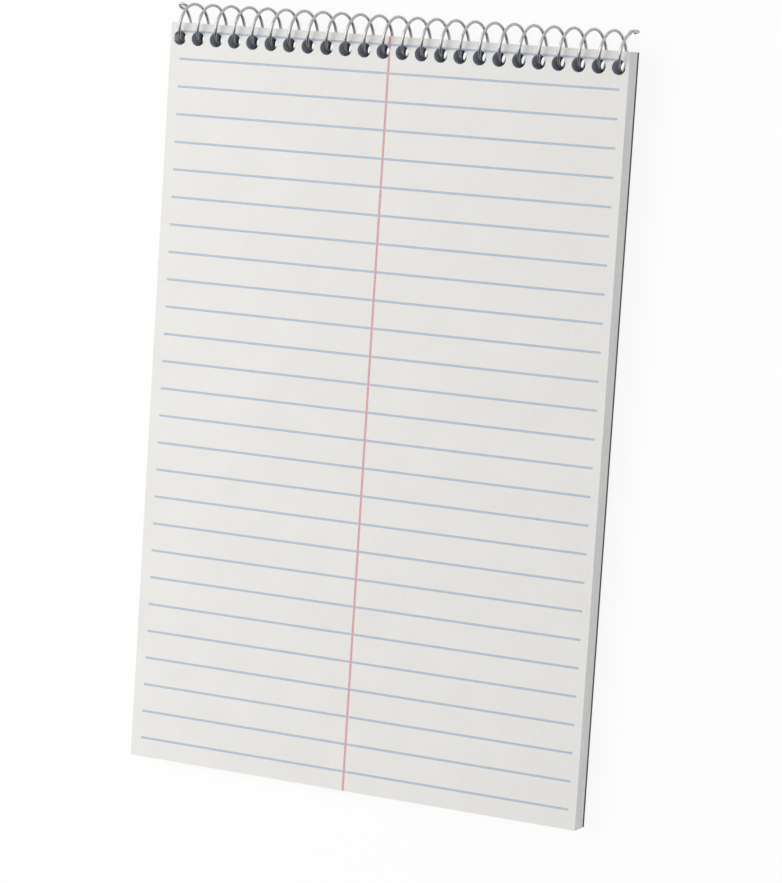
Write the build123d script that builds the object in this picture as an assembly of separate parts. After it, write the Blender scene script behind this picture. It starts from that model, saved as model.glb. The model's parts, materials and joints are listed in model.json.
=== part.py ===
"""Spiral-bound steno book, lying on its back with the front cover folded round behind it.

The book is drawn flat first: x runs along the bound top edge, y runs up the page with the top edge at y = 0,
and z points out of the front page with the outside of the folded cover at z = 0. At the end every piece is
laid down as the book comes to rest, on its coil and on the lower edge of the folded cover.
"""

from build123d import *
from math import acos, asin, atan2, ceil, cos, degrees, hypot, radians, sin, sqrt
import os

# Leaves, in millimetres
SHEET_WIDTH = 152.4
SHEET_LENGTH = 228.6
PAGES_THICKNESS = 5.6
BACK_THICKNESS = 1.2
COVER_THICKNESS = 0.5
COVER_GAP = 0.2  # air between the back board and the cover folded behind it

# Punched row along the top edge
HOLE_DIAMETER = 4.4
HOLE_PITCH = 6.35
HOLE_INSET = 4.6  # from the top edge down to the hole centres
HOLE_MARGIN = 0.5  # least paper left beside the end holes

# Spiral wire
WIRE_DIAMETER = 0.9
COIL_ROOM = 1.7  # from the faces of the stack to the inside of the coil
COIL_SAG = 0.5  # how far the coil hangs below the middle of its holes
EYE_PLAY = 1.1  # how much narrower the bent ends are than a hole, so that a leaf turns over them
EYE_LEAN = 12  # degrees that the bent ends lean in towards the coil
EYE_BEND = 60  # degrees that the wire swings aside first; 60 brings the eye in line with its strand
EYE_LOOP = 300  # degrees of the loop itself
LEFT_END_ANGLE = -220  # degrees round the coil, from the front, where the helix starts behind the first hole
RIGHT_END_ANGLE = 65  # degrees round the coil where it stops above the last hole

# Facets of what repeats, kept few
HOLE_SIDES = 16
WIRE_SIDES = 6
COIL_STEP = 18  # degrees of the coil between two sections of the wire
EYE_STEP = 30  # the same in the bent ends

# Turn of the folded cover about the coil, from flat behind the back to flat open, in degrees
COVER_SWING = 180

# Stack, from the folded cover up to the front page
back_z = COVER_THICKNESS + COVER_GAP
pages_z = back_z + BACK_THICKNESS
stack = pages_z + PAGES_THICKNESS

# Hole row
hole_count = int((SHEET_WIDTH - HOLE_DIAMETER - 2 * HOLE_MARGIN) / HOLE_PITCH) + 1
first_hole_x = -HOLE_PITCH * (hole_count - 1) / 2

# Coil: its axis is level with the middle of the stack, and its arc lies across the middle of the holes
coil_radius = stack / 2 + COIL_ROOM + WIRE_DIAMETER / 2
coil_outside = coil_radius + WIRE_DIAMETER / 2
arc_top = sqrt(coil_radius**2 - (stack / 2) ** 2)
axis_y = (coil_radius + arc_top) / 2 - HOLE_INSET - COIL_SAG
axis_z = stack / 2


def wire_x(angle):
    """Place along the row of the wire's first turn, at an angle round the coil counted from the front."""
    return first_hole_x + HOLE_PITCH * (angle + 90) / 360


def spoke(angle):
    """Direction from the coil's axis out to the wire."""
    return Vector(0, sin(radians(angle)), cos(radians(angle)))


def on_coil(angle):
    """Point of the wire's centre line."""
    return Vector(wire_x(angle), axis_y, axis_z) + spoke(angle) * coil_radius


def along_coil(angle):
    """Direction of the wire there, towards the last hole."""
    climb = HOLE_PITCH / radians(360)
    return (Vector(climb, 0, 0) + spoke(angle + 90) * coil_radius).normalized()


def punched_leaf(thickness):
    """Sheet or pile of sheets with its row of holes, its back at z = 0."""
    sheet = Rectangle(SHEET_WIDTH, SHEET_LENGTH, align=(Align.CENTER, Align.MAX))
    row = GridLocations(HOLE_PITCH, 0, hole_count, 1)
    punch = RegularPolygon(HOLE_DIAMETER / 2, HOLE_SIDES, major_radius=False)
    holes = [Pos(0, -HOLE_INSET) * place * punch for place in row]
    return extrude(sheet - holes, thickness)


def folded_cover():
    """Front cover behind the back board, hung with its holes on the wire.

    A leaf that turns about the coil creeps along the wire's pitch, so the wire starts at one side of each
    cover hole and ends as far to the other side.
    """
    depth = axis_z - COVER_THICKNESS / 2
    wire_angle = degrees(acos(depth / coil_radius)) - 180
    creep = HOLE_PITCH * COVER_SWING / 360
    aside = wire_x(wire_angle) - first_hole_x - creep / 2
    lift = on_coil(wire_angle).Y + HOLE_INSET
    return Pos(aside, lift, 0) * punched_leaf(COVER_THICKNESS)


def wire_section(point, side, heading):
    """Outline of the wire where it passes a point."""
    return Plane(point, x_dir=side, z_dir=heading) * RegularPolygon(WIRE_DIAMETER / 2, WIRE_SIDES)


def bent_eye(start, heading):
    """Places and headings of a bent end, outwards from the coil: the wire swings aside, then loops back."""
    radius = (HOLE_DIAMETER - EYE_PLAY - WIRE_DIAMETER) / 2
    aside = (Vector(1, 0, 0) - heading * heading.X).normalized()
    bend_steps = ceil(EYE_BEND / EYE_STEP)
    loop_steps = ceil(EYE_LOOP / EYE_STEP)
    turns = [-EYE_BEND / bend_steps] * bend_steps + [EYE_LOOP / loop_steps] * loop_steps
    stations = []
    point = start
    turned = 0
    for turn in turns:
        middle = radians(turned + turn / 2)
        chord = 2 * radius * abs(sin(radians(turn / 2)))
        point = point + (heading * cos(middle) + aside * sin(middle)) * chord
        turned += turn
        stations.append((point, heading * cos(radians(turned)) + aside * sin(radians(turned))))
    return stations


def spiral_wire():
    """One wire through every hole, with an eye bent at each end."""
    last_angle = 360 * (hole_count - 1) + RIGHT_END_ANGLE
    sweep_angle = last_angle - LEFT_END_ANGLE
    steps = ceil(sweep_angle / COIL_STEP)
    angles = [LEFT_END_ANGLE + sweep_angle * step / steps for step in range(steps + 1)]
    left_eye = bent_eye(on_coil(LEFT_END_ANGLE), -along_coil(LEFT_END_ANGLE - EYE_LEAN))
    right_eye = bent_eye(on_coil(last_angle), along_coil(last_angle + EYE_LEAN))
    left_spoke = spoke(LEFT_END_ANGLE - EYE_LEAN)
    right_spoke = spoke(last_angle + EYE_LEAN)
    sections = [wire_section(point, left_spoke, -heading) for point, heading in reversed(left_eye)]
    sections += [wire_section(on_coil(angle), spoke(angle), along_coil(angle)) for angle in angles]
    sections += [wire_section(point, right_spoke, heading) for point, heading in right_eye]
    return loft(sections, ruled=True)


def laid_down(flat):
    """Every piece as the book lies: tipped onto its coil and the cover's lower edge, centred over the origin."""
    cover_foot = flat["front_cover"].bounding_box().min
    run = axis_y - cover_foot.Y
    drop = axis_z - cover_foot.Z
    tilt = degrees(asin(coil_outside / hypot(run, drop)) - atan2(drop, run))
    tipped = {name: Rot(X=tilt) * piece for name, piece in flat.items()}
    box = Compound(list(tipped.values())).bounding_box()
    home = Pos(-box.center().X, -box.center().Y, -box.min.Z)
    axis = (home * Rot(X=tilt) * Pos(0, axis_y, axis_z)).position
    print(f"tilt {tilt:.4f} deg, coil axis y {axis.Y:.4f} z {axis.Z:.4f}, page centre x {axis.X:.4f}")
    return {name: home * piece for name, piece in tipped.items()}


book = {
    "page_block": Pos(0, 0, pages_z) * punched_leaf(PAGES_THICKNESS),
    "back_cover": Pos(0, 0, back_z) * punched_leaf(BACK_THICKNESS),
    "front_cover": folded_cover(),
    "spiral_wire": spiral_wire(),
}

os.makedirs("parts", exist_ok=True)
for name, piece in laid_down(book).items():
    export_step(piece, f"parts/{name}.step")
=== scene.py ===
# %% [markdown]
# # A steno book on a wire spiral
# The book is a pile of ruled sheets and a stiff board, threaded on one wire coil, with its card cover
# folded round behind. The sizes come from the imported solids, and everything that a camera notices is made
# here: single sheets at the edges, printed lines, round wire, and the surface of paper, board, card and
# metal.

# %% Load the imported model
import json
import math

import bpy
from mathutils import Matrix, Vector


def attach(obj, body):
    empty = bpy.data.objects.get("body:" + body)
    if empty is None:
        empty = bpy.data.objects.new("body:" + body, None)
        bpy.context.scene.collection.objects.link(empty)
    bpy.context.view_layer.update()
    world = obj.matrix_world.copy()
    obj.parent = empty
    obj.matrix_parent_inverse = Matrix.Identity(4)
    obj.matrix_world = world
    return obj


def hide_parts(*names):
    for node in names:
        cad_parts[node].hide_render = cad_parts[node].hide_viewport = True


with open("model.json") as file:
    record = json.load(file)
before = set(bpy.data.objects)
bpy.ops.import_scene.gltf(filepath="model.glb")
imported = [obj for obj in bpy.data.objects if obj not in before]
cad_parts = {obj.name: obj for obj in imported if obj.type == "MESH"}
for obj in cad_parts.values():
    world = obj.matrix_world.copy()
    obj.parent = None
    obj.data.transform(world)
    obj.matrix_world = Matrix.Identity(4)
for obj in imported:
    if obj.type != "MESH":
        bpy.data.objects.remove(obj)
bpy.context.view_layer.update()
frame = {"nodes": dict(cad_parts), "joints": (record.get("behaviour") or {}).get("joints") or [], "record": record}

# %% [markdown]
# ## Drawing flat, then laying down
# The coil is thicker than the leaves, so a real book lies a little tipped, on its coil and on the foot of
# its cover. Drawing every piece tipped would hide simple sizes behind sines. Instead each piece is drawn
# flat with the coil's axis as the origin, and one matrix lays all of them down where the solids are.

# %% The flat book
MM = 0.001
coil_axis = Vector(frame["joints"][0]["pos_m"])
foot_edge = next(mount for mount in frame["record"]["mounts"] if mount["name"] == "foot_edge")
tilt = math.atan2(-foot_edge["axis"][2], -foot_edge["axis"][1])
lay_down = Matrix.Translation(coil_axis) @ Matrix.Rotation(tilt, 4, "X")
flatten = lay_down.inverted()


def flat_box(node):
    """Lowest and highest corner of a solid in the flat book."""
    points = [flatten @ vertex.co for vertex in frame["nodes"][node].data.vertices]
    low = Vector([min(point[i] for point in points) for i in range(3)])
    high = Vector([max(point[i] for point in points) for i in range(3)])
    return low, high


pages_low, pages_high = flat_box("page_block")
sheet_width, sheet_length, pages_thickness = pages_high - pages_low
top_edge = pages_high.y
front_z = pages_high.z
print(f"pages {sheet_width / MM:.1f} x {sheet_length / MM:.1f} x {pages_thickness / MM:.2f} mm,"
      f" tipped {math.degrees(tilt):.3f} degrees")

# %% [markdown]
# ## Helpers for node trees
# Shader trees and Geometry Nodes trees are built in the same way: add a node, set what it needs, link the
# rest. One helper does this for both. Another runs a Geometry Nodes tree once and keeps its result as a
# plain mesh, because only plain meshes travel with the finished part. The last one lays a piece down and
# fixes it to its body.

# %% Adding nodes and growing meshes
SHARP_ANGLE = 35


def add(tree, kind, inputs=None, **settings):
    """A new node: its own settings, and each input as a value or as the output linked to it."""
    node = tree.nodes.new(kind)
    for name, value in settings.items():
        setattr(node, name, value)
    for name, value in (inputs or {}).items():
        if isinstance(value, bpy.types.NodeSocket):
            tree.links.new(value, node.inputs[name])
        elif value is not None:
            node.inputs[name].default_value = value
    return node


def new_tree(name, inputs):
    """An empty Geometry Nodes tree with named inputs, its input node and its output node."""
    tree = bpy.data.node_groups.new(name, "GeometryNodeTree")
    tree.interface.new_socket("Geometry", in_out="INPUT", socket_type="NodeSocketGeometry")
    tree.interface.new_socket("Geometry", in_out="OUTPUT", socket_type="NodeSocketGeometry")
    for label, kind in inputs.items():
        tree.interface.new_socket(label, in_out="INPUT", socket_type="NodeSocket" + kind)
    return tree, tree.nodes.new("NodeGroupInput").outputs, tree.nodes.new("NodeGroupOutput")


def grow(name, tree, values, data=None):
    """Run a tree with these input values and keep the result as an object with a plain mesh."""
    seed = bpy.data.objects.new(name + "_seed", data or bpy.data.meshes.new(name + "_seed"))
    bpy.context.scene.collection.objects.link(seed)
    modifier = seed.modifiers.new("grow", "NODES")
    modifier.node_group = tree
    for socket in tree.interface.items_tree:
        if socket.in_out == "INPUT" and socket.name in values:
            modifier[socket.identifier] = values[socket.name]
    shaped = seed.evaluated_get(bpy.context.evaluated_depsgraph_get())
    mesh = bpy.data.meshes.new_from_object(shaped)
    mesh.name = name
    bpy.data.objects.remove(seed)
    piece = bpy.data.objects.new(name, mesh)
    bpy.context.scene.collection.objects.link(piece)
    return piece


def settle(piece, place, body):
    """Move a flat piece to its place in the book, lay it down, and fix it to its body."""
    piece.data.transform(lay_down @ Matrix.Translation(place))
    piece.data.shade_smooth()
    piece.data.set_sharp_from_angle(angle=math.radians(SHARP_ANGLE))
    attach(piece, body)
    piece.data.calc_loop_triangles()
    print(f"{piece.name}: {len(piece.data.loop_triangles)} triangles, rides on {body}")


# %% [markdown]
# ## Coordinates for the finishes
# A pattern such as paper fibre has to lie along the sheet. Object coordinates are those of the tipped book,
# so every finish starts from them and turns them back to the flat book with one Mapping node. Noise can
# then be stretched along the page or squeezed into layers through its thickness. Noise values crowd round
# their middle, so tones and roughness are spread over that range alone.

# %% Starting a finish
NOISE_LOW, NOISE_HIGH = 0.3, 0.7
RELIEF_STRENGTH = 0.5


def new_finish(name):
    """A node material: the material, its tree, its shader and the flat book's coordinates."""
    material = bpy.data.materials.new(name)
    material.use_nodes = True
    tree = material.node_tree
    there = add(tree, "ShaderNodeTexCoord")
    flat = add(tree, "ShaderNodeMapping", {
        "Vector": there.outputs["Object"],
        "Location": flatten.to_translation(),
        "Rotation": (-tilt, 0, 0),
    })
    return material, tree, tree.nodes["Principled BSDF"], flat.outputs["Vector"]


def grain(tree, where, size, stretch=(1, 1, 1), detail=3):
    """Noise with marks about this size, longer along an axis whose stretch is above 1."""
    drawn = add(tree, "ShaderNodeMapping", {"Vector": where, "Scale": [1 / s for s in stretch]})
    marks = add(tree, "ShaderNodeTexNoise", {
        "Vector": drawn.outputs["Vector"], "Scale": 1 / size, "Detail": detail,
    })
    return marks.outputs["Fac"]


def shades(tree, factor, dark, light):
    """The factor's middle range turned into a colour from dark to light."""
    ramp = add(tree, "ShaderNodeValToRGB", {"Fac": factor})
    first, last = ramp.color_ramp.elements
    first.position, first.color = NOISE_LOW, (*dark, 1)
    last.position, last.color = NOISE_HIGH, (*light, 1)
    return ramp.outputs["Color"]


def spread(tree, factor, low, high):
    """The factor's middle range turned into a number from low to high."""
    span = add(tree, "ShaderNodeMapRange", {
        "Value": factor, "From Min": NOISE_LOW, "From Max": NOISE_HIGH, "To Min": low, "To Max": high,
    })
    return span.outputs["Result"]


def relief(tree, shader, height, depth):
    """Fine relief on a shader's surface, this deep in metres."""
    bump = add(tree, "ShaderNodeBump", {"Height": height, "Strength": RELIEF_STRENGTH, "Distance": depth})
    tree.links.new(bump.outputs["Normal"], shader.inputs["Normal"])


# %% [markdown]
# ## Writing paper
# Cheap writing paper is warm white, with faint clouds where the pulp lies thicker and short fibres along
# the direction in which the sheet was made. Two noises give both: a large soft one for the clouds and a
# small stretched one for the fibres, which also raises the surface by about a hundredth of a millimetre.

# %% Paper finish
paper, tree, shader, flat = new_finish("writing_paper")
clouds = grain(tree, flat, 14 * MM, detail=4)
fibres = grain(tree, flat, 0.5 * MM, stretch=(1, 4, 1), detail=4)
both = add(tree, "ShaderNodeMath", {0: clouds, 1: fibres}, operation="ADD")
half = add(tree, "ShaderNodeMath", {0: both.outputs["Value"], 1: 0.5}, operation="MULTIPLY")
pulp = shades(tree, half.outputs["Value"], (0.845, 0.832, 0.808), (0.895, 0.882, 0.86))
tree.links.new(pulp, shader.inputs["Base Color"])
tree.links.new(spread(tree, fibres, 0.82, 0.95), shader.inputs["Roughness"])
relief(tree, shader, fibres, 0.02 * MM)
print("finish:", paper.name)

# %% [markdown]
# ## Cut and punched paper edges
# At the cut sides the sheets show as thin layers. Noise that is squeezed to a sheet's thickness through the
# pile and long along it draws those layers. The walls of the punched holes are layered too, and the same
# recipe gives them a second, darker and bluer finish: painted shade for the little light in the narrow holes.


# %% Edge finishes
def layered_edge(name, dark, light):
    """Edge of a pile of sheets between two tones."""
    material, tree, shader, flat = new_finish(name)
    layers = grain(tree, flat, 0.16 * MM, stretch=(120, 120, 1), detail=2)
    tree.links.new(shades(tree, layers, dark, light), shader.inputs["Base Color"])
    tree.links.new(spread(tree, layers, 0.8, 0.95), shader.inputs["Roughness"])
    relief(tree, shader, layers, 0.05 * MM)
    print("finish:", material.name)
    return material


cut_edge = layered_edge("cut_paper_edge", (0.80, 0.795, 0.78), (0.92, 0.915, 0.90))
# The hole walls' darker, bluer grey is painted shade, not the colour of the paper.
painted_shade_hole_walls = layered_edge("punched_wall_painted_shade", (0.42, 0.45, 0.51), (0.54, 0.57, 0.63))

# %% [markdown]
# ## One punched leaf
# Page, board and cover are the same thing in three thicknesses: a rectangle with a row of round holes along
# its top. Cutting the holes with booleans would work, but a tree can also fill the area between a rectangle
# and a row of circles, and push that face up to the leaf's thickness. This keeps the rims clean and the
# sizes as inputs.

# %% Tree for a punched leaf
HOLE_SIDES = 32
WELD = 0.002 * MM


def slab(tree, face, thickness):
    """Nodes that turn a flat face into a closed slab of this thickness, above the face."""
    raised = add(tree, "GeometryNodeExtrudeMesh", {
        "Mesh": face, "Offset": (0, 0, 1), "Offset Scale": thickness, "Individual": False,
    })
    under = add(tree, "GeometryNodeFlipFaces", {"Mesh": face})
    shell = add(tree, "GeometryNodeJoinGeometry")
    tree.links.new(raised.outputs["Mesh"], shell.inputs["Geometry"])
    tree.links.new(under.outputs["Mesh"], shell.inputs["Geometry"])
    closed = add(tree, "GeometryNodeMergeByDistance", {
        "Geometry": shell.outputs["Geometry"], "Distance": WELD,
    })
    return closed.outputs["Geometry"]


def ending(tree, geometry, material, output):
    """The last nodes of every tree: real copies in place of instances, and the finish."""
    real = add(tree, "GeometryNodeRealizeInstances", {"Geometry": geometry})
    dressed = add(tree, "GeometryNodeSetMaterial", {
        "Geometry": real.outputs["Geometry"], "Material": material,
    })
    tree.links.new(dressed.outputs["Geometry"], output.inputs["Geometry"])


def hole_row(tree, given, shape):
    """One copy of a shape at each hole of the row."""
    row = add(tree, "GeometryNodeMeshLine", {
        "Count": given["Hole Count"], "Start Location": given["First Hole"], "Offset": given["Hole Step"],
    }, mode="OFFSET")
    copies = add(tree, "GeometryNodeInstanceOnPoints", {"Points": row.outputs["Mesh"], "Instance": shape})
    real = add(tree, "GeometryNodeRealizeInstances", {"Geometry": copies.outputs["Instances"]})
    return real.outputs["Geometry"]


HOLE_INPUTS = {"Hole Count": "Int", "First Hole": "Vector", "Hole Step": "Vector", "Hole Radius": "Float"}
leaf_tree, given, output = new_tree("punched_leaf", {
    "Width": "Float", "Length": "Float", "Thickness": "Float", **HOLE_INPUTS, "Material": "Material",
})
outline = add(leaf_tree, "GeometryNodeCurvePrimitiveQuadrilateral", {
    "Width": given["Width"], "Height": given["Length"],
})
circle = add(leaf_tree, "GeometryNodeCurvePrimitiveCircle", {
    "Resolution": HOLE_SIDES, "Radius": given["Hole Radius"],
})
edges = add(leaf_tree, "GeometryNodeJoinGeometry")
leaf_tree.links.new(outline.outputs["Curve"], edges.inputs["Geometry"])
leaf_tree.links.new(hole_row(leaf_tree, given, circle.outputs["Curve"]), edges.inputs["Geometry"])
face = add(leaf_tree, "GeometryNodeFillCurve", {"Curve": edges.outputs["Geometry"]}, mode="TRIANGLES")
ending(leaf_tree, slab(leaf_tree, face.outputs["Mesh"], given["Thickness"]), given["Material"], output)
print("tree:", leaf_tree.name, "with", len(leaf_tree.nodes), "nodes")

# %% [markdown]
# ## The pile of pages
# Some eighty thin sheets make the pile. Modelling each of them whole would hide a quarter of a million
# triangles where nobody looks. So the pile has a punched core, and only the rims of its sheets are single
# pieces round that core. Pages and board hang on the wire with play in their holes, and slide by half a
# millimetre towards the place that the photograph shows. They go up by less than the gap that the cover
# leaves at their top edge when it is open.

# %% Core of the pile
HOLE_PITCH = 6.35 * MM
HOLE_DIAMETER = 4.4 * MM
HOLE_INSET = 4.6 * MM
HOLE_MARGIN = 0.5 * MM
SHEET_COUNT = 80
CORE_INSET = 0.4 * MM
LEAF_SLIDE = Vector((0.5, 0.15, 0)) * MM
hole_count = int((sheet_width - HOLE_DIAMETER - 2 * HOLE_MARGIN) / HOLE_PITCH) + 1
first_hole_x = -HOLE_PITCH * (hole_count - 1) / 2
sheet_pitch = pages_thickness / SHEET_COUNT
hole_values = {
    "Hole Count": hole_count,
    "First Hole": (first_hole_x, sheet_length / 2 - HOLE_INSET, 0),
    "Hole Step": (HOLE_PITCH, 0, 0),
    "Hole Radius": HOLE_DIAMETER / 2 / math.cos(math.pi / HOLE_SIDES),
}


def leaf_values(width, length, thickness, material):
    """Inputs of the punched leaf."""
    sizes = {"Width": width, "Length": length, "Thickness": thickness, "Material": material}
    return {**sizes, **hole_values}


def leaf_like(name, node, material):
    """A punched leaf with the size of a solid, and that solid's place."""
    low, high = flat_box(node)
    middle = (low + high) / 2
    return grow(name, leaf_tree, leaf_values(*(high - low), material)), Vector((middle.x, middle.y, low.z))


page_middle = Vector((0, (pages_low.y + pages_high.y) / 2, pages_low.z)) + LEAF_SLIDE
core_width = sheet_width - 2 * CORE_INSET
core_length = sheet_length - 2 * CORE_INSET
# The core shows only its hole walls, and these carry the painted shade finish.
core = leaf_values(core_width, core_length, pages_thickness - sheet_pitch, painted_shade_hole_walls)
page_pile = grow("page_pile", leaf_tree, core)
settle(page_pile, page_middle, "pad")
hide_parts("page_block")

# %% [markdown]
# ## Single sheets at the edges
# Sheets in a pile never lie quite true: each is off by some hundredths of a millimetre, which gives the cut
# sides their fine broken lines. The tree makes one thin rim, copies it through the pile and shifts each
# copy at random, always by the same seed.

# %% Rims of the sheets
RIM_DEPTH = 1.2 * MM
SHEET_SHARE = 0.97
SLIP = 0.06 * MM
SLIP_SEED = 7
rim_tree, given, output = new_tree("sheet_rims", {
    "Width": "Float", "Length": "Float", "Rim Depth": "Float", "Sheet Thickness": "Float",
    "Sheet Count": "Int", "Sheet Pitch": "Float", "Slip": "Float", "Seed": "Int", "Material": "Material",
})
both_rims = add(rim_tree, "ShaderNodeMath", {0: given["Rim Depth"], 1: 2.0}, operation="MULTIPLY")
inner_width = add(rim_tree, "ShaderNodeMath", {0: given["Width"], 1: both_rims.outputs["Value"]},
                  operation="SUBTRACT")
inner_length = add(rim_tree, "ShaderNodeMath", {0: given["Length"], 1: both_rims.outputs["Value"]},
                   operation="SUBTRACT")
outer = add(rim_tree, "GeometryNodeCurvePrimitiveQuadrilateral", {
    "Width": given["Width"], "Height": given["Length"],
})
inner = add(rim_tree, "GeometryNodeCurvePrimitiveQuadrilateral", {
    "Width": inner_width.outputs["Value"], "Height": inner_length.outputs["Value"],
})
edges = add(rim_tree, "GeometryNodeJoinGeometry")
rim_tree.links.new(outer.outputs["Curve"], edges.inputs["Geometry"])
rim_tree.links.new(inner.outputs["Curve"], edges.inputs["Geometry"])
ring = add(rim_tree, "GeometryNodeFillCurve", {"Curve": edges.outputs["Geometry"]}, mode="TRIANGLES")
rim = slab(rim_tree, ring.outputs["Mesh"], given["Sheet Thickness"])
rise = add(rim_tree, "ShaderNodeCombineXYZ", {"Z": given["Sheet Pitch"]})
pile = add(rim_tree, "GeometryNodeMeshLine", {
    "Count": given["Sheet Count"], "Offset": rise.outputs["Vector"],
}, mode="OFFSET")
rims = add(rim_tree, "GeometryNodeInstanceOnPoints", {"Points": pile.outputs["Mesh"], "Instance": rim})
slip_back = add(rim_tree, "ShaderNodeMath", {0: given["Slip"], 1: -1.0}, operation="MULTIPLY")
least = add(rim_tree, "ShaderNodeCombineXYZ", {
    "X": slip_back.outputs["Value"], "Y": slip_back.outputs["Value"],
})
most = add(rim_tree, "ShaderNodeCombineXYZ", {"X": given["Slip"], "Y": given["Slip"]})
shift = add(rim_tree, "FunctionNodeRandomValue", {
    "Min": least.outputs["Vector"], "Max": most.outputs["Vector"], "Seed": given["Seed"],
}, data_type="FLOAT_VECTOR")
slipped = add(rim_tree, "GeometryNodeTranslateInstances", {
    "Instances": rims.outputs["Instances"], "Translation": shift.outputs["Value"],
})
ending(rim_tree, slipped.outputs["Instances"], given["Material"], output)

sheet_rims = grow("sheet_rims", rim_tree, {
    "Width": sheet_width, "Length": sheet_length, "Rim Depth": RIM_DEPTH,
    "Sheet Thickness": sheet_pitch * SHEET_SHARE, "Sheet Count": SHEET_COUNT - 1, "Sheet Pitch": sheet_pitch,
    "Slip": SLIP, "Seed": SLIP_SEED, "Material": cut_edge,
})
settle(sheet_rims, page_middle, "pad")

# %% [markdown]
# ## The front page
# The sheet on top is the one that everyone looks at, so it is a whole punched leaf of its own, in the paper
# finish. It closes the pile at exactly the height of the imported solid.

# %% Top sheet
front_page = grow("front_page", leaf_tree, leaf_values(sheet_width, sheet_length, sheet_pitch, paper))
settle(front_page, page_middle + Vector((0, 0, pages_thickness - sheet_pitch)), "pad")

# %% [markdown]
# ## Inks
# Ruling machines print thin inks that soak in unevenly. Each ink has a light and a dark tone, mixed by fine
# noise along the line, and stays as matt as the paper around it.


# %% Ink finishes
def ink(name, dark, light):
    """A soaked-in ink between two tones."""
    material, tree, shader, flat = new_finish(name)
    soak = grain(tree, flat, 0.6 * MM, detail=4)
    tree.links.new(shades(tree, soak, dark, light), shader.inputs["Base Color"])
    tree.links.new(spread(tree, soak, 0.7, 0.9), shader.inputs["Roughness"])
    print("finish:", material.name)
    return material


blue_ink = ink("blue_ruling_ink", (0.437, 0.532, 0.643), (0.566, 0.631, 0.718))
red_ink = ink("red_ruling_ink", (0.69, 0.34, 0.38), (0.79, 0.47, 0.50))

# %% [markdown]
# ## Ruled lines
# Steno paper has blue lines a third of an inch apart and one red line down the middle. Painted in the
# page's shader, such thin lines turn blurred as soon as the part is baked to textures. So each line is a
# strip of ink a hundredth of a millimetre high: the tree copies one strip down the page, then cuts away
# what lies over a hole.

# %% Tree for ruled lines
PUNCH_DEPTH = 2 * MM
rule_tree, given, output = new_tree("ruled_lines", {
    "Line Size": "Vector", "First Line": "Vector", "Line Step": "Vector", "Line Count": "Int", **HOLE_INPUTS,
    "Material": "Material",
})
strip = add(rule_tree, "GeometryNodeMeshCube", {"Size": given["Line Size"]})
places = add(rule_tree, "GeometryNodeMeshLine", {
    "Count": given["Line Count"], "Start Location": given["First Line"], "Offset": given["Line Step"],
}, mode="OFFSET")
strips = add(rule_tree, "GeometryNodeInstanceOnPoints", {
    "Points": places.outputs["Mesh"], "Instance": strip.outputs["Mesh"],
})
lines = add(rule_tree, "GeometryNodeRealizeInstances", {"Geometry": strips.outputs["Instances"]})
punch = add(rule_tree, "GeometryNodeMeshCylinder", {
    "Vertices": HOLE_SIDES, "Radius": given["Hole Radius"], "Depth": PUNCH_DEPTH,
})
clear = add(rule_tree, "GeometryNodeMeshBoolean", {"Mesh 1": lines.outputs["Geometry"]},
            operation="DIFFERENCE", solver="EXACT")
rule_tree.links.new(hole_row(rule_tree, given, punch.outputs["Mesh"]), clear.inputs["Mesh 2"])
ending(rule_tree, clear.outputs["Mesh"], given["Material"], output)
print("tree:", rule_tree.name, "with", len(rule_tree.nodes), "nodes")

# %% Blue lines and the red centre line
LINE_GAP = 25.4 / 3 * MM
LINE_WIDTH = 0.7 * MM
FIRST_LINE = 2.5 * MM
LINE_COUNT = 27
LEFT_MARGIN = 3.4 * MM
RIGHT_MARGIN = 2.5 * MM
CENTRE_WIDTH = 0.7 * MM
CENTRE_ASIDE = -1.1 * MM
INK_HEIGHT = 0.012 * MM
RED_HEIGHT = 1.5 * INK_HEIGHT
line_length = sheet_width - LEFT_MARGIN - RIGHT_MARGIN
page_face = page_middle + Vector((0, 0, pages_thickness))

blue_lines = grow("blue_lines", rule_tree, {
    "Line Size": (line_length, LINE_WIDTH, INK_HEIGHT),
    "First Line": ((LEFT_MARGIN - RIGHT_MARGIN) / 2, sheet_length / 2 - FIRST_LINE, INK_HEIGHT / 2),
    "Line Step": (0, -LINE_GAP, 0), "Line Count": LINE_COUNT,
    "Material": blue_ink, **hole_values,
})
settle(blue_lines, page_face, "pad")
red_line = grow("red_line", rule_tree, {
    "Line Size": (CENTRE_WIDTH, sheet_length, RED_HEIGHT),
    "First Line": (CENTRE_ASIDE, 0, RED_HEIGHT / 2),
    "Line Step": (0, 0, 0), "Line Count": 1,
    "Material": red_ink, **hole_values,
})
settle(red_line, page_face, "pad")

# %% [markdown]
# ## Stiff back board
# Behind the pages is a sheet of pressed grey board, dyed dark. Its faces are matt with a few pale fibres,
# and its cut edge shows the layers that it was pressed from. The normal in object space tells the faces
# from the edges, so both looks fit in one finish, and they stay put when the book moves.

# %% Board and card finishes
FLECK_START, FLECK_FULL = 0.66, 0.74


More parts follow.
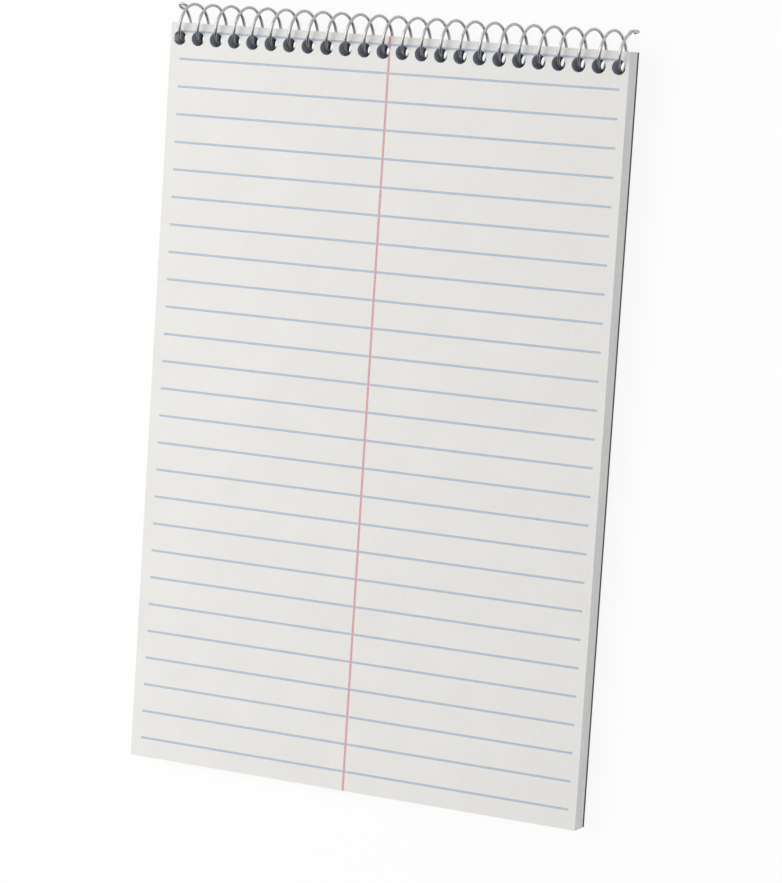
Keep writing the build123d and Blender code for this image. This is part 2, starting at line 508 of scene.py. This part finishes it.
def pressed_board(name, dark, light, edge_dark, edge_light, fleck, rough):
    """Dyed board: mottled faces with pale fibres, and layered cut edges."""
    material, tree, shader, flat = new_finish(name)
    there = add(tree, "ShaderNodeTexCoord")
    turn = add(tree, "ShaderNodeSeparateXYZ", {"Vector": there.outputs["Normal"]})
    level = add(tree, "ShaderNodeMath", {0: turn.outputs["Z"]}, operation="ABSOLUTE")
    on_face = add(tree, "ShaderNodeMath", {0: level.outputs["Value"], 1: 0.5}, operation="GREATER_THAN")
    mottle = grain(tree, flat, 1.4 * MM, stretch=(1, 1.6, 1), detail=5)
    fibres = grain(tree, flat, 0.7 * MM, stretch=(1, 5, 1), detail=2)
    face = shades(tree, mottle, dark, light)
    flecks = add(tree, "ShaderNodeMapRange", {
        "Value": fibres, "From Min": FLECK_START, "From Max": FLECK_FULL,
    })
    flecked = add(tree, "ShaderNodeMix", {"Factor": flecks.outputs["Result"]}, data_type="RGBA")
    tree.links.new(face, flecked.inputs["A"])
    flecked.inputs["B"].default_value = (*fleck, 1)
    layers = grain(tree, flat, 0.12 * MM, stretch=(40, 40, 1), detail=2)
    edge = shades(tree, layers, edge_dark, edge_light)
    colour = add(tree, "ShaderNodeMix", {"Factor": on_face.outputs["Value"]}, data_type="RGBA")
    tree.links.new(edge, colour.inputs["A"])
    tree.links.new(flecked.outputs["Result"], colour.inputs["B"])
    tree.links.new(colour.outputs["Result"], shader.inputs["Base Color"])
    tree.links.new(spread(tree, mottle, *rough), shader.inputs["Roughness"])
    relief(tree, shader, mottle, 0.04 * MM)
    print("finish:", material.name)
    return material


board = pressed_board(
    "dark_back_board", dark=(0.050, 0.051, 0.053), light=(0.075, 0.076, 0.078),
    edge_dark=(0.035, 0.035, 0.037), edge_light=(0.085, 0.085, 0.088),
    fleck=(0.16, 0.16, 0.165), rough=(0.75, 0.9),
)

# %% The back board
back_board, board_place = leaf_like("back_board", "back_cover", board)
settle(back_board, board_place + LEAF_SLIDE, "pad")
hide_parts("back_cover")

# %% [markdown]
# ## The folded cover
# The cover is a thin dyed card that has been turned right round the coil and now lies behind the board. It
# turns about the coil, so it rides on a body of its own. Its finish is the board's recipe with finer tones
# and a smoother, slightly shiny face.

# %% The card cover
card = pressed_board(
    "dark_cover_card", dark=(0.040, 0.042, 0.046), light=(0.055, 0.057, 0.061),
    edge_dark=(0.05, 0.05, 0.053), edge_light=(0.11, 0.11, 0.115),
    fleck=(0.09, 0.09, 0.095), rough=(0.45, 0.6),
)
card_cover, card_place = leaf_like("card_cover", "front_cover", card)
settle(card_cover, card_place, "front_cover")
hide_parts("front_cover")

# %% [markdown]
# ## Drawn steel wire
# The coil is drawn steel with a thin zinc coat: grey, half bright, with dull spots. The metal itself comes
# from the shader, and two noises vary its tone and its roughness, so that it neither mirrors like chrome
# nor looks painted.

# %% Wire finish
wire_metal, tree, shader, flat = new_finish("zinc_coated_wire")
spots = grain(tree, flat, 1.2 * MM, detail=4)
scratches = grain(tree, flat, 0.15 * MM, detail=3)
shader.inputs["Metallic"].default_value = 1.0
zinc = shades(tree, spots, (0.36, 0.36, 0.365), (0.53, 0.53, 0.53))
tree.links.new(zinc, shader.inputs["Base Color"])
tree.links.new(spread(tree, spots, 0.28, 0.42), shader.inputs["Roughness"])
relief(tree, shader, scratches, 0.01 * MM)
print("finish:", wire_metal.name)

# %% [markdown]
# ## The path of the wire
# A machine screws the finished coil through the holes and then bends both ends into small eyes, so that it
# can't turn out again. The path is a helix that passes each hole once a turn. An eye is two arcs added to
# its end: a short swing aside, then a loop almost right round.

# %% Points along the helix and its eyes
WIRE_DIAMETER = 0.9 * MM
WIRE_SIDES = 12
COIL_STEP = 9
EYE_STEP = 7.5
EYE_PLAY = 1.1 * MM
EYE_LEAN = 12
EYE_BEND = 60
EYE_LOOP = 300
LEFT_END_ANGLE = -220
RIGHT_END_ANGLE = 65
coil_radius = coil_axis.z - WIRE_DIAMETER / 2


def spoke(angle):
    """Direction from the coil's axis out to the wire, at an angle counted from the front."""
    return Vector((0, math.sin(math.radians(angle)), math.cos(math.radians(angle))))


def on_coil(angle):
    """Point of the wire's centre line."""
    along = first_hole_x + HOLE_PITCH * (angle + 90) / 360
    return Vector((along, 0, 0)) + spoke(angle) * coil_radius


def along_coil(angle):
    """Direction of the wire there, towards the last hole."""
    climb = HOLE_PITCH / math.radians(360)
    return (Vector((climb, 0, 0)) + spoke(angle + 90) * coil_radius).normalized()


def bent_eye(start, heading):
    """Points of a bent end, outwards from the coil."""
    radius = (HOLE_DIAMETER - EYE_PLAY - WIRE_DIAMETER) / 2
    aside = (Vector((1, 0, 0)) - heading * heading.x).normalized()
    turns = [-EYE_STEP] * round(EYE_BEND / EYE_STEP) + [EYE_STEP] * round(EYE_LOOP / EYE_STEP)
    chord = 2 * radius * math.sin(math.radians(EYE_STEP / 2))
    points, point, turned = [], start, 0
    for turn in turns:
        middle = math.radians(turned + turn / 2)
        point = point + (heading * math.cos(middle) + aside * math.sin(middle)) * chord
        turned += turn
        points.append(point)
    return points


last_angle = 360 * (hole_count - 1) + RIGHT_END_ANGLE
sweep_angle = last_angle - LEFT_END_ANGLE
steps = math.ceil(sweep_angle / COIL_STEP)
angles = [LEFT_END_ANGLE + sweep_angle * i / steps for i in range(steps + 1)]
left_eye = bent_eye(on_coil(LEFT_END_ANGLE), -along_coil(LEFT_END_ANGLE - EYE_LEAN))
right_eye = bent_eye(on_coil(last_angle), along_coil(last_angle + EYE_LEAN))
wire_path = left_eye[::-1] + [on_coil(angle) for angle in angles] + right_eye
print(f"wire path: {len(wire_path)} points, coil radius {coil_radius / MM:.2f} mm")

# %% [markdown]
# ## The wire itself
# A tree sweeps a circle along the path and closes both cut ends. Sweeping keeps the wire round everywhere,
# which a chain of short cylinders wouldn't do in the tight eyes.

# %% Sweep along the path
wire_tree, given, output = new_tree("swept_wire", {
    "Wire Diameter": "Float", "Wire Sides": "Int", "Material": "Material",
})
wire_radius = add(wire_tree, "ShaderNodeMath", {0: given["Wire Diameter"], 1: 0.5}, operation="MULTIPLY")
section = add(wire_tree, "GeometryNodeCurvePrimitiveCircle", {
    "Resolution": given["Wire Sides"], "Radius": wire_radius.outputs["Value"],
})
swept = add(wire_tree, "GeometryNodeCurveToMesh", {
    "Curve": given["Geometry"], "Profile Curve": section.outputs["Curve"], "Fill Caps": True,
})
ending(wire_tree, swept.outputs["Mesh"], given["Material"], output)

path = bpy.data.curves.new("wire_path", "CURVE")
path.dimensions = "3D"
spline = path.splines.new("POLY")
spline.points.add(len(wire_path) - 1)
for point, where in zip(spline.points, wire_path):
    point.co = (*where, 1)
spiral = grow("spiral_coil", wire_tree, {
    "Wire Diameter": WIRE_DIAMETER, "Wire Sides": WIRE_SIDES, "Material": wire_metal,
}, path)
settle(spiral, Vector((0, 0, 0)), "pad")
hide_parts("spiral_wire")

# %% [markdown]
# ## Studio: floor and surroundings
# The photograph is cut out on white. A large white floor and a white world give that background: rays from
# the camera and from shiny or clear surfaces see plain white, while the light that falls on the book is
# softer and a little cool. The floor keeps a share of its shading, so the book still throws a faint shadow.

# %% White floor and world
WORLD_TINT = (0.95, 0.975, 1, 1)
WORLD_FILL = 0.55
FLOOR_HALF = 4
FLOOR_DROP = 0.1 * MM
FLOOR_GLOW = 0.9
FLOOR_FILL = 0.65


def seen_directly(tree):
    """1 for rays from the camera or a reflection or through glass, else 0."""
    rays = add(tree, "ShaderNodeLightPath").outputs
    shiny = add(tree, "ShaderNodeMath", {0: rays["Is Camera Ray"], 1: rays["Is Glossy Ray"]}, operation="ADD")
    seen = add(tree, "ShaderNodeMath", {0: shiny.outputs["Value"], 1: rays["Is Transmission Ray"]},
               operation="ADD", use_clamp=True)
    return seen.outputs["Value"]


def stage_sheet(name, corners, material):
    """A flat four-sided sheet of the studio."""
    mesh = bpy.data.meshes.new(name)
    mesh.from_pydata(corners, [], [(0, 1, 2, 3)])
    mesh.materials.append(material)
    sheet = bpy.data.objects.new(name, mesh)
    bpy.context.scene.collection.objects.link(sheet)
    return sheet


bpy.context.scene.view_settings.view_transform = "Standard"
world = bpy.data.worlds.new("white_room")
bpy.context.scene.world = world
world.use_nodes = True
tree = world.node_tree
tree.nodes["Background"].inputs["Color"].default_value = WORLD_TINT
tree.nodes["Background"].inputs["Strength"].default_value = WORLD_FILL
backdrop = add(tree, "ShaderNodeBackground", {"Color": (1, 1, 1, 1), "Strength": 1})
mixed = add(tree, "ShaderNodeMixShader", {"Fac": seen_directly(tree)})
tree.links.new(tree.nodes["Background"].outputs["Background"], mixed.inputs[1])
tree.links.new(backdrop.outputs["Background"], mixed.inputs[2])
tree.links.new(mixed.outputs["Shader"], tree.nodes["World Output"].inputs["Surface"])

floor_white = bpy.data.materials.new("floor_white")
floor_white.use_nodes = True
tree = floor_white.node_tree
tree.nodes["Principled BSDF"].inputs["Base Color"].default_value = (0.96, 0.96, 0.96, 1)
tree.nodes["Principled BSDF"].inputs["Roughness"].default_value = 1
glow = add(tree, "ShaderNodeEmission", {"Color": (1, 1, 1, 1), "Strength": 1})
share = add(tree, "ShaderNodeMapRange", {
    "Value": seen_directly(tree), "To Min": FLOOR_FILL, "To Max": FLOOR_GLOW,
})
mixed = add(tree, "ShaderNodeMixShader", {"Fac": share.outputs["Result"]})
tree.links.new(tree.nodes["Principled BSDF"].outputs["BSDF"], mixed.inputs[1])
tree.links.new(glow.outputs["Emission"], mixed.inputs[2])
tree.links.new(mixed.outputs["Shader"], tree.nodes["Material Output"].inputs["Surface"])
around = [(-1, -1), (1, -1), (1, 1), (-1, 1)]
floor = stage_sheet("floor", [(x * FLOOR_HALF, y * FLOOR_HALF, -FLOOR_DROP) for x, y in around], floor_white)
print("floor and world are white")

# %% [markdown]
# ## Studio: a dark screen
# In a room that is white all round, bright wire almost vanishes. A photographer stands a dark screen just
# outside the picture, so that the metal has something to mirror. This one stands beyond the foot of the
# book, and only reflections can see it.

# %% Dark screen
SCREEN_HALF = 1.2
SCREEN_HEIGHT = 1.2
SCREEN_Y = -0.4
screen_black = bpy.data.materials.new("screen_black")
screen_black.use_nodes = True
screen_black.node_tree.nodes["Principled BSDF"].inputs["Base Color"].default_value = (0.02, 0.02, 0.022, 1)
standing = [(-SCREEN_HALF, 0), (SCREEN_HALF, 0), (SCREEN_HALF, SCREEN_HEIGHT), (-SCREEN_HALF, SCREEN_HEIGHT)]
screen = stage_sheet("dark_screen", [(x, SCREEN_Y, z) for x, z in standing], screen_black)
screen.visible_camera = False
screen.visible_diffuse = False
screen.visible_transmission = False
screen.visible_shadow = False

# %% [markdown]
# ## Studio: lamps
# The page is brightest and warmest at its left and falls off to a cooler grey on the right, and the left
# walls of the holes are dark. So a broad warm lamp stands above on the left, and the world and the floor
# fill the rest.


# %% Soft lamps
def soft_lamp(name, place, power, side, colour):
    """A square lamp at a place, turned to the middle of the book."""
    lamp = bpy.data.lights.new(name, "AREA")
    lamp.energy = power
    lamp.size = side
    lamp.color = colour
    holder = bpy.data.objects.new(name, lamp)
    holder.location = place
    holder.rotation_euler = (-Vector(place)).to_track_quat("-Z", "Y").to_euler()
    bpy.context.scene.collection.objects.link(holder)
    print(f"lamp {name}: {power} W at {place}")


soft_lamp("key_lamp", place=(-0.68, 0.1, 0.8), power=6.6, side=0.8, colour=(1, 0.97, 0.93))

# %% [markdown]
# ## Camera
# The camera's place, direction and lens were worked out from the page's corners, lines and holes, whose
# real sizes are known. They are kept relative to the page, so the book is seen as in the photograph
# although it lies down.

# %% Camera at the photograph's angle
LENS = 143.5
NEAR_CLIP = 0.01
view_right = Vector((0.891, 0.0636, -0.4495))
view_up = Vector((-0.1091, 0.9911, -0.076))
view_place = Vector((472.6, 2.8, 938.9)) * MM
camera = bpy.data.objects.new("camera", bpy.data.cameras.new("camera"))
camera.data.lens = LENS
camera.data.clip_start = NEAR_CLIP
turn = Matrix((view_right, view_up, view_right.cross(view_up))).transposed().to_4x4()
page_top = Matrix.Translation(Vector((0, top_edge, front_z)) + LEAF_SLIDE)
camera.matrix_world = lay_down @ page_top @ Matrix.Translation(view_place) @ turn
bpy.context.scene.collection.objects.link(camera)
bpy.context.scene.camera = camera
print("camera at", [round(value, 3) for value in camera.matrix_world.to_translation()])
